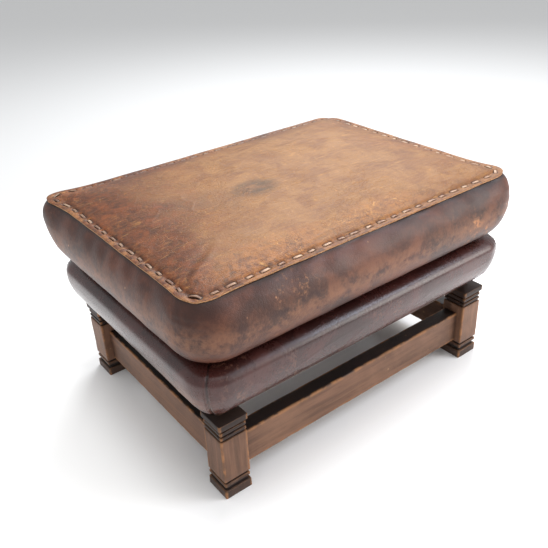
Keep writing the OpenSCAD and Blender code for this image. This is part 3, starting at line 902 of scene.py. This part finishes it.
def cover_relief(point):
    """Padding unevenness, pinched corner seams, gathers at the hem, and drag creases."""
    side = ease(cover_high.z - point.z, 0.5 * MM, 8 * MM)
    below = ease(point.z, cover_high.z - 20 * MM, cover_high.z - 50 * MM)
    rise = (lumps(point, 0.16, 6.0) * 0.9 * MM + lumps(point, 0.045, 1.0) * 0.45 * MM * below) * side
    away = near_seam(point)
    rise -= (2.2 * MM * bell(away, 2.0 * MM) - 0.5 * MM * bell(away - 4 * MM, 2.5 * MM)) * side
    low = ease(point.z, cover_low.z + 42 * MM, cover_low.z + 4 * MM)
    run = point.x + point.y * 1.3
    rise += math.sin(run * 260 + 4 * lumps(point, 0.08, 2.0)) * 0.9 * MM * low * bell(away - 12 * MM, 26 * MM)
    crease = 1 - abs(noise.noise(Vector((point.x * 8 + 3, point.y * 8, point.z * 36))))
    return rise + crease ** 10 * 0.6 * MM * side * below


def make_box_leather(finish, thread):
    rows = cover_rows()
    points, faces = [], []
    for half_x, half_y, radius, height in rows:
        points += [Vector((x, y, height)) for x, y, _, _ in plan_ring(half_x, half_y, radius, COVER_STEPS)]
    for row in range(len(rows) - 1):
        faces += bridge(row * COVER_RING, (row + 1) * COVER_RING, COVER_RING)
    leather = piece("box_leather", points, faces, finish, "box",
                    replaces=("box_cover", "front_pad", "back_pad", "left_pad", "right_pad"))
    work(leather, "SUBSURF", levels=2, render_levels=2)
    shape_skin(leather, cover_relief)
    vertices = leather.data.vertices
    # Dark along the corner seams; painted shade along the bottom, where the leather turns under the box.
    coat(leather, "shade_and_stain", [
        max(0.9 * bell(near_seam(v.co), 1.8 * MM), 0.9 * ease(v.co.z, cover_low.z + 14 * MM, cover_low.z))
        for v in vertices])
    coat(leather, "wear", [
        bell(Vector((v.co.x + cover_high.x, (v.co.y + 0.17) * 0.6, (v.co.z - 0.2) * 1.5)).length, 34 * MM)
        for v in vertices])
    work(leather, "SOLIDIFY", thickness=1.3 * MM, offset=-1)
    sew_corners(leather, thread)


def sew_corners(leather, finish):
    """A row of short stitches down each side of the four corner seams."""
    tree = BVHTree.FromObject(leather, bpy.context.evaluated_depsgraph_get())
    points, faces = [], []
    for sx in (-1, 1):
        for sy in (-1, 1):
            out = Vector((sx, sy, 0)).normalized()
            side = Vector((-out.y, out.x, 0))
            for off in (-5 * MM, 5 * MM):
                for i in range(13):
                    height = cover_low.z + 12 * MM + i * 6 * MM
                    lay_stitch(tree, points, faces, side * off, out, height,
                               Vector((sx * (cover_high.x - 52 * MM), sy * (cover_high.y - 52 * MM), 0)))
    piece("corner_stitching", points, faces, finish, "box")


def lay_stitch(tree, points, faces, shift, out, height, centre):
    """One stitch: a slim capsule that lies on the leather, 4 mm from hole to hole."""
    side = out.cross(Vector((0, 0, 1)))
    first = len(points)
    spans, sides = 6, 6
    for i in range(spans + 1):
        share = 2 * i / spans - 1
        start = centre + shift + out * 0.3
        start.z = height + share * 2.1 * MM
        hit = tree.ray_cast(start, -out)[0]
        if hit is None:
            del points[first:]
            return
        girth = 0.45 * MM * math.sqrt(max(0.04, 1 - share * share * 0.96))
        middle = hit + out * 0.25 * MM
        for k in range(sides):
            turn = math.tau * k / sides
            points.append(middle + side * girth * math.cos(turn) + out * girth * math.sin(turn))
    for i in range(spans):
        faces += bridge(first + i * sides, first + (i + 1) * sides, sides)
    faces.append(tuple(first + k for k in range(sides - 1, -1, -1)))
    faces.append(tuple(first + spans * sides + k for k in range(sides)))


# ---------------------------------------------------------------- legs and rails

# Each band of a leg, in millimetres: from, to, and how far proud of the plain face.
LEG_BANDS = ((0, 16, 0.7), (24, 30, -0.5), (35.5, 120, 0), (124, 129, -0.5), (133, 139, -0.5))
CAP_START = 144
GROOVE_DEPTH = 3.8
LEG_HALF = 25 * MM
ARRIS = 2 * MM


def rounded_square(half, radius, count=4):
    """A square's outline with rounded corners, with a flag for the points on the arris."""
    outline = []
    for quarter, (sx, sy) in enumerate(((1, 1), (-1, 1), (-1, -1), (1, -1))):
        for i in range(count + 1):
            turn = math.radians(90 * (quarter + i / count))
            outline.append((sx * (half - radius) + radius * math.cos(turn),
                            sy * (half - radius) + radius * math.sin(turn), 1.0))
        nx, ny = ((-1, 1), (-1, -1), (1, -1), (1, 1))[quarter]
        for share in (0.06, 0.35, 0.65, 0.94):
            start = outline[-1]
            if share == 0.06:
                origin = start
                goal = (nx * (half - radius) if quarter % 2 == 0 else origin[0],
                        ny * (half - radius) if quarter % 2 else origin[1])
            outline.append((origin[0] + (goal[0] - origin[0]) * share,
                            origin[1] + (goal[1] - origin[1]) * share, 0.0))
    return outline


def leg_profile(foot, top):
    """The bands and grooves up a square leg: (height, how far proud, 1 in a groove)."""
    bands = LEG_BANDS + ((CAP_START, (top - foot) / MM, 1.9),)
    profile = []
    for number, (start, end, proud) in enumerate(bands):
        if number:
            profile.append((start - 0.2, -GROOVE_DEPTH, 1.0))
        profile.append((start, proud - 1.0, 0.5))
        profile.append((start + 0.5, proud - 0.3, 0.1))
        profile.append((start + 1.2, proud, 0.0))
        height = start + 12
        while height < end - 6:
            profile.append((height, proud, 0.0))
            height += 12
        profile.append((end - 1.2, proud, 0.0))
        profile.append((end - 0.5, proud - 0.3, 0.1))
        profile.append((end, proud - 1.0, 0.5))
        if number < len(bands) - 1:
            profile.append((end + 0.2, -GROOVE_DEPTH, 1.0))
    return profile


def make_leg(name, finish):
    low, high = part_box(name)
    centre = (low + high) / 2
    points, faces, wear, shade_and_stain = [], [], [], []
    profile = leg_profile(low.z, high.z)
    ring = len(rounded_square(LEG_HALF, ARRIS))
    for height, proud, groove in profile:
        for x, y, arris in rounded_square(LEG_HALF + proud * MM, ARRIS):
            place = Vector((centre.x + x, centre.y + y, low.z + height * MM))
            uneven = lumps(place, 0.03, 2.0) * 0.25 * MM * (1 - groove)
            wornoff = arris * max(0, lumps(place, 0.02, 5.0)) * 0.7 * MM * (1 - groove)
            away = Vector((x, y, 0)).normalized()
            points.append(place + away * (uneven - wornoff))
            at_end = height in (profile[0][0], profile[-1][0])
            wear.append(0.0 if at_end else arris * (1 - groove) + (0.35 if 0.05 < groove < 0.6 else 0))
            # Painted shade: the cap under the box is darkened, and the foot is darker too; the grooves are
            # near black, partly dirt in them and partly painted shade.
            cap_shade_and_dark_foot = 0.9 * ease(height, 118, 126) + 0.7 * ease(height, 34, 26)
            shade_and_stain.append(0.94 if groove > 0.6 else cap_shade_and_dark_foot)
    for row in range(len(profile) - 1):
        faces += bridge(row * ring, (row + 1) * ring, ring)
    faces.append(tuple(range(ring - 1, -1, -1)))
    faces.append(tuple((len(profile) - 1) * ring + k for k in range(ring)))
    leg = piece(name + "_wood", points, faces, finish, "box",
                {"wear": wear, "shade_and_stain": shade_and_stain}, replaces=(name,))
    leg.data.set_sharp_from_angle(angle=math.radians(38))


def make_rail(name, finish):
    """A rail with eased arrises, a little uneven, with painted shade along its top face under the box."""
    low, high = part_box(name)
    size = high - low
    along = 0 if size.x > size.y else 1
    across = 1 - along
    section = []
    half_w, half_h, radius = size[across] / 2, size.z / 2, ARRIS
    for sx, sz, start in ((1, 1, 0), (-1, 1, 90), (-1, -1, 180), (1, -1, 270)):
        for i in range(4):
            turn = math.radians(start + 30 * i)
            section.append((sx * (half_w - radius) + radius * math.cos(turn),
                            sz * (half_h - radius) + radius * math.sin(turn)))
    loose, flags = [], []
    for i, (w, h) in enumerate(section):
        loose.append((w, h))
        flags.append(1.0)
        if i % 4 == 3:
            after = section[(i + 1) % len(section)]
            for share in (0.08, 0.36, 0.64, 0.92):
                loose.append((w + (after[0] - w) * share, h + (after[1] - h) * share))
                flags.append(0.0)
    middle = (low + high) / 2
    ring, spans = len(loose), 60
    points, faces, wear, shade_and_stain = [], [], [], []
    for i in range(spans + 1):
        where = low[along] + size[along] * i / spans
        for (w, h), arris in zip(loose, flags):
            place = Vector((0, 0, middle.z + h))
            place[along] = where
            place[across] = middle[across] + w
            worn = arris * max(0, lumps(place, 0.025, 3.0)) * 0.7 * MM
            shift = Vector((0, 0, -math.copysign(worn, h)))
            shift[across] = -math.copysign(worn, w) + lumps(place, 0.06, 4.0) * 0.2 * MM
            inside = 0 < i < spans
            points.append(place + (shift if inside else Vector((0, 0, 0))))
            end_dirt = max(bell(where - low[along], 7 * MM), bell(high[along] - where, 7 * MM))
            wear.append(arris)
            # Painted shade on the top face, under the box; dirt at the ends where the rail meets the legs.
            shade_and_stain.append(max(0.95 * ease(h, half_h - 1.5 * MM, half_h), 0.6 * end_dirt))
    for row in range(spans):
        faces += bridge(row * ring, (row + 1) * ring, ring)
    faces.append(tuple(range(ring - 1, -1, -1)))
    faces.append(tuple(spans * ring + k for k in range(ring)))
    rail = piece(name + "_wood", points, faces, finish, "box",
                 {"wear": wear, "shade_and_stain": shade_and_stain}, replaces=(name,))
    rail.data.set_sharp_from_angle(angle=math.radians(38))


# ---------------------------------------------------------------- linings and fittings

LEAF_LENGTH = 60 * MM
LEAF_GAP = 1 * MM
CLOTH_T = 0.6 * MM


def make_room_lining(finish):
    """The lining cloth: up the four walls and across the floor of the room, a little slack."""
    room_x, room_y = lining_high.x - 0.8 * MM, lining_high.y - 0.8 * MM
    floor_z = lining_low.z + 1.2 * MM
    top_z = lining_high.z - 1 * MM
    rows = [(room_x, room_y, 8 * MM, top_z - (top_z - floor_z - 7 * MM) * i / 10) for i in range(11)]
    rows += [(room_x - 2 * MM, room_y - 2 * MM, 6.5 * MM, floor_z + 2 * MM),
             (room_x - 7 * MM, room_y - 7 * MM, 5 * MM, floor_z)]
    steps = (110, 80, 4)
    ring = 2 * (steps[0] + steps[1]) + 4 * steps[2]
    points, faces = [], []
    for half_x, half_y, radius, height in rows:
        points += [Vector((x, y, height)) for x, y, _, _ in plan_ring(half_x, half_y, radius, steps)]
    for row in range(len(rows) - 1):
        faces += bridge(row * ring, (row + 1) * ring, ring)
    for share in (0.8, 0.6, 0.4, 0.2):
        start = len(points) - ring
        for x, y, _, _ in plan_ring(room_x - 7 * MM, room_y - 7 * MM, 5 * MM, steps):
            points.append(Vector((x * share, y * share, floor_z)))
        faces += bridge(start, start + ring, ring)
    start = len(points) - ring
    points.append(Vector((0, 0, floor_z)))
    faces += [(start + k, start + (k + 1) % ring, start + ring) for k in range(ring)]
    cloth = piece("room_lining_cloth", points, faces, finish, "box",
                  replaces=("box_lining",))
    mesh = cloth.data
    for vertex in mesh.vertices:
        fold = abs(lumps(vertex.co, 0.06, 3.0)) * 1.3 * MM * ease(vertex.co.z, top_z, top_z - 15 * MM)
        if vertex.co.z < floor_z + 3 * MM:
            vertex.co.z += fold * 0.8
        else:
            vertex.co.x -= math.copysign(fold, vertex.co.x) * (abs(vertex.co.x) > room_x - 9 * MM)
            vertex.co.y -= math.copysign(fold, vertex.co.y) * (abs(vertex.co.y) > room_y - 9 * MM)
    mesh.update()
    work(cloth, "SOLIDIFY", thickness=CLOTH_T, offset=0)


def make_lid_lining(finish):
    """The cloth on the underside of the lid board, notched round the hinge leaves."""
    low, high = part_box("lid_lining")
    leaf_low, leaf_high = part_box("hinge_lid_leaves")
    notch_y = leaf_low.y - 2 * LEAF_GAP
    near, far = leaf_high.x - LEAF_LENGTH - LEAF_GAP, leaf_high.x + LEAF_GAP
    notches = [(-far, -near), (near, far)]
    xs = sorted({low.x + (high.x - low.x) * i / 60 for i in range(61)} | {v for n in notches for v in n})
    ys = sorted({low.y + (high.y - low.y) * i / 43 for i in range(44)} | {notch_y})
    points, faces = [], []
    middle = (low.z + high.z) / 2
    for x in xs:
        for y in ys:
            place = Vector((x, y, middle))
            points.append(place + Vector((0, 0, -0.2 * MM * lumps(place, 0.05, 1.0))))
    for i in range(len(xs) - 1):
        for j in range(len(ys) - 1):
            inside = any(a - 1e-6 <= xs[i] and xs[i + 1] <= b + 1e-6 for a, b in notches)
            if inside and ys[j] >= notch_y - 1e-6:
                continue
            start = i * len(ys) + j
            faces.append((start, start + 1, start + len(ys) + 1, start + len(ys)))
    cloth = piece("lid_lining_cloth", points, faces, finish, "lid",
                  replaces=("lid_lining",))
    work(cloth, "SOLIDIFY", thickness=CLOTH_T, offset=0)
    wide, long = high.x - low.x, high.y - low.y
    cut = sum(b - a for a, b in notches) * (high.y - notch_y)
    wide * long - cut


def dress_frame():
    """Finishes for the pieces that stay as they were built."""
    pale = plain_board("pale_board", dye(176, 148, 112), dye(132, 104, 74), 4, 90, 90)
    stained = plain_board("stained_lid_board", dye(84, 58, 44), dye(50, 34, 28), 4, 90, 90, 0.5)
    dowel = plain_board("birch_dowel", dye(206, 178, 138), dye(168, 136, 98), 60, 60, 60)
    steel, felt = dulled_steel(), pressed_felt()
    for finish, names in (
        (pale, ("front_wall", "back_wall", "left_wall", "right_wall")),
        (stained, ("lid_board", "base_board")),
        (dowel, ("rail_dowels", "wall_dowels")),
        (steel, ("leg_bolts", "base_screws", "hinge_box_leaves", "hinge_lid_leaves", "hinge_pins",
                 "box_leaf_screws", "lid_leaf_screws")),
        (felt, ("felt_buffers",)),
    ):
        for name in names:
            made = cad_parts[name]
            made.data.materials.clear()
            made.data.materials.append(finish)


# ---------------------------------------------------------------- build

place_camera()
light_studio()
lay_floor(floor_white())
finishes = {
    "top": worn_tan(),
    "edge": raw_edge(),
    "thong": thong_leather(),
    "band": hide("chestnut_hide", dye(52, 26, 18), dye(88, 47, 32), dye(116, 67, 44), dye(184, 128, 88),
                 1.0, 0.34, 0.06),
    "box": hide("oxblood_hide", dye(46, 22, 20), dye(72, 36, 32), dye(88, 48, 42), dye(166, 118, 92),
                0.3, 0.17, 0.35),
}
make_lid(finishes)
make_box_leather(finishes["box"], waxed_thread())
leg_wood = stained_wood("leg_wood", 120, 120, 7)
for leg_name in ("leg_front_left", "leg_front_right", "leg_back_left", "leg_back_right"):
    make_leg(leg_name, leg_wood)
long_wood = stained_wood("long_rail_wood", 7, 120, 120)
short_wood = stained_wood("short_rail_wood", 120, 7, 120)
make_rail("front_rail", long_wood)
make_rail("back_rail", long_wood)
make_rail("left_rail", short_wood)
make_rail("right_rail", short_wood)
make_room_lining(lining_cotton())
make_lid_lining(lining_cotton())
dress_frame()
